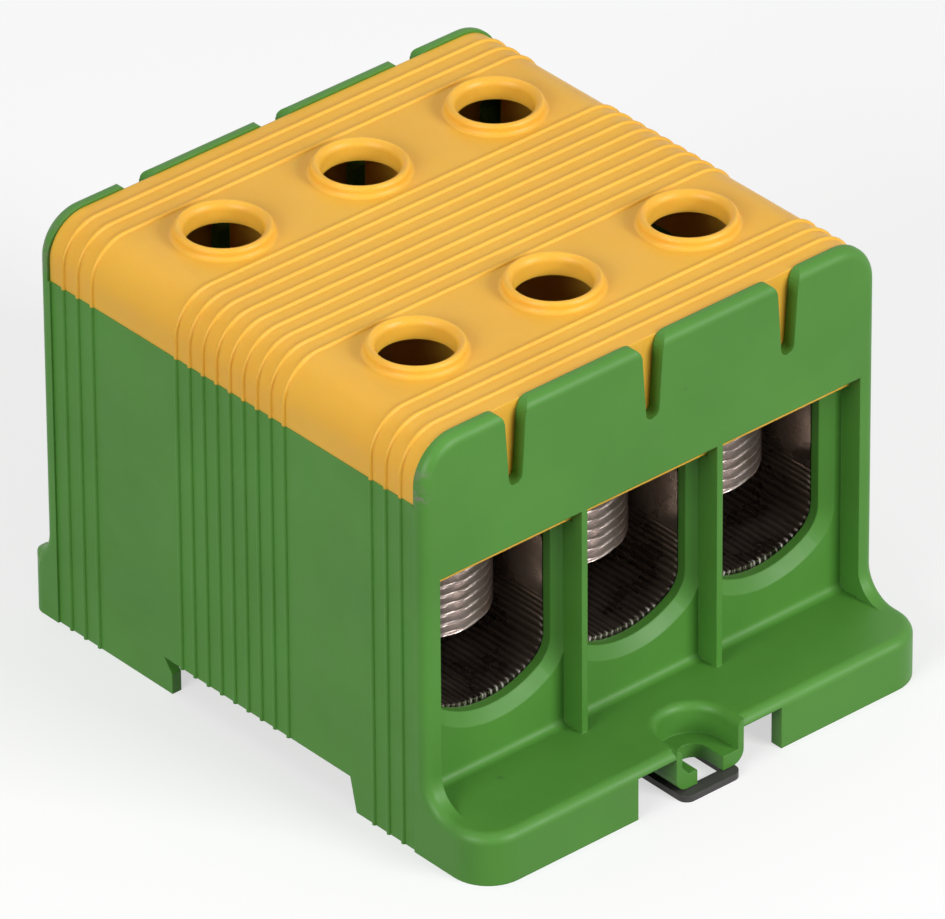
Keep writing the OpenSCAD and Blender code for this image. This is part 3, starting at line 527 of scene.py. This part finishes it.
class FinishLatch(bpy.types.Operator):
    """Gives the rail latch its grey moulded finish, and makes its bright spring."""

    bl_idname = "terminal.finish_latch"
    bl_label = "Finish Latch"

    def execute(self, context):
        colours, sizes = settings(context)
        base = tuple(colours.latch)
        # The last colour is the lighter tone of the highlight painted along the edges.
        material = moulded_plastic("grey_moulding", base, tuple(0.8 * c for c in base), 0.42,
                                   sizes.edge_radius / 2, tuple(1.5 * c for c in base))
        dress(["rail_latch"], material)
        spring = merged_copy("wire_spring", "latch_spring")
        dress([spring.name], plated_steel("spring_wire", (0.62, 0.62, 0.62), 0.28))
        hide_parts("latch_spring")
        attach(spring, "body")
        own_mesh(spring)
        return {"FINISHED"}


# ---- Stage ----

def softbox(name, place, aim, size, power):
    """A rectangular studio lamp that looks at a point."""
    light = bpy.data.lights.new(name, "AREA")
    light.shape = "RECTANGLE"
    light.size, light.size_y = size
    light.energy = power
    lamp = bpy.data.objects.new(name, light)
    lamp.location = place
    lamp.rotation_mode = "QUATERNION"
    lamp.rotation_quaternion = (Vector(aim) - Vector(place)).to_track_quat("-Z", "Y")
    bpy.context.scene.collection.objects.link(lamp)


class SetStage(bpy.types.Operator):
    """Sets the floor, the studio lamps, the surroundings and the camera."""

    bl_idname = "terminal.set_stage"
    bl_label = "Set Stage"

    def execute(self, context):
        colours, _ = settings(context)
        scene = context.scene
        self.floor(tuple(colours.backdrop))
        self.surroundings(scene)
        softbox("key_lamp", (0.40, -1.15, 0.60), (0, 0, 0.04), (0.6, 0.5), 16.0)
        softbox("top_lamp", (0.0, 0.3, 1.1), (0, 0, 0.05), (0.9, 0.9), 2.6)
        softbox("left_lamp", (-1.25, -0.25, 0.6), (0, 0, 0.05), (0.8, 0.6), 13.0)
        self.camera(scene)
        scene.view_settings.view_transform = "Standard"
        return {"FINISHED"}

    def floor(self, colour):
        bm = bmesh.new()
        bmesh.ops.create_grid(bm, x_segments=8, y_segments=8, size=3.0)
        floor = finished_piece(bm, "floor")
        material, nodes, links = new_finish("studio_floor")
        shader = nodes["Principled BSDF"]
        shader.inputs["Roughness"].default_value = 0.9
        shader.inputs["Specular IOR Level"].default_value = 0.1
        glow = nodes.new("ShaderNodeEmission")
        glow.inputs["Strength"].default_value = 1.0
        seen = seen_directly(nodes, links)
        dim = tuple(FLOOR_BOUNCE * c for c in colour)
        links.new(blend_colour(nodes, links, seen, dim, colour), shader.inputs["Base Color"])
        share = maths(nodes, links, "MULTIPLY", seen, FLOOR_GLOW)
        mix = nodes.new("ShaderNodeMixShader")
        links.new(share, mix.inputs["Fac"])
        links.new(shader.outputs["BSDF"], mix.inputs[1])
        links.new(glow.outputs["Emission"], mix.inputs[2])
        links.new(mix.outputs["Shader"], nodes["Material Output"].inputs["Surface"])
        floor.data.materials.append(material)

    def surroundings(self, scene):
        world = bpy.data.worlds.new("studio_world")
        world.use_nodes = True
        nodes, links = world.node_tree.nodes, world.node_tree.links
        back = nodes["Background"]
        back.inputs["Color"].default_value = (1, 1, 1, 1)
        extra = maths(nodes, links, "MULTIPLY", seen_directly(nodes, links), 1 - WORLD_LEVEL)
        level = maths(nodes, links, "ADD", WORLD_LEVEL, extra)
        links.new(level, back.inputs["Strength"])
        scene.world = world

    def camera(self, scene):
        az, el, roll = (math.radians(a) for a in CAMERA_TURN)
        back = Vector((math.sin(az) * math.cos(el), -math.cos(az) * math.cos(el), math.sin(el)))
        right = Vector((math.cos(az), math.sin(az), 0))
        up = back.cross(right)
        side = math.cos(roll) * right + math.sin(roll) * up
        rise = -math.sin(roll) * right + math.cos(roll) * up
        data = bpy.data.cameras.new("camera")
        data.sensor_fit = "HORIZONTAL"
        data.sensor_width = 36
        data.lens = CAMERA_LENS
        data.clip_start, data.clip_end = 0.05, 20
        camera = bpy.data.objects.new("camera", data)
        aim = Vector((0, MIDDLE_Y / MM, CAMERA_AIM_Z))
        place = aim + CAMERA_SIDE * side - CAMERA_RISE * rise + CAMERA_BACK * back
        turn = Matrix((side, rise, back)).transposed().to_4x4()
        camera.matrix_world = Matrix.Translation(place * MM) @ turn
        scene.collection.objects.link(camera)
        scene.camera = camera


class TerminalPanel(bpy.types.Panel):
    """Sidebar panel with the settings and one button for each group of pieces."""

    bl_idname = "VIEW3D_PT_terminal"
    bl_label = "Earth Terminal Bar"
    bl_space_type = "VIEW_3D"
    bl_region_type = "UI"
    bl_category = "Terminal"

    def draw(self, context):
        layout = self.layout
        for group in settings(context):
            column = layout.column(align=True)
            for key in group.__annotations__:
                column.prop(group, key)
        column = layout.column(align=True)
        for operator in OPERATORS:
            column.operator(operator.bl_idname)


OPERATORS = (FinishHousing, FinishCover, FinishBar, MakeScrews, FinishLatch, SetStage)
CLASSES = (TerminalColours, TerminalSizes, *OPERATORS, TerminalPanel)


def register():
    for cls in CLASSES:
        bpy.utils.register_class(cls)
    bpy.types.Scene.terminal_colours = PointerProperty(type=TerminalColours)
    bpy.types.Scene.terminal_sizes = PointerProperty(type=TerminalSizes)


def unregister():
    del bpy.types.Scene.terminal_sizes
    del bpy.types.Scene.terminal_colours
    for cls in reversed(CLASSES):
        bpy.utils.unregister_class(cls)


def main():
    register()
    for operator in OPERATORS:
        group, call = operator.bl_idname.split(".")
        getattr(getattr(bpy.ops, group), call)()


if __name__ == "__main__":
    main()
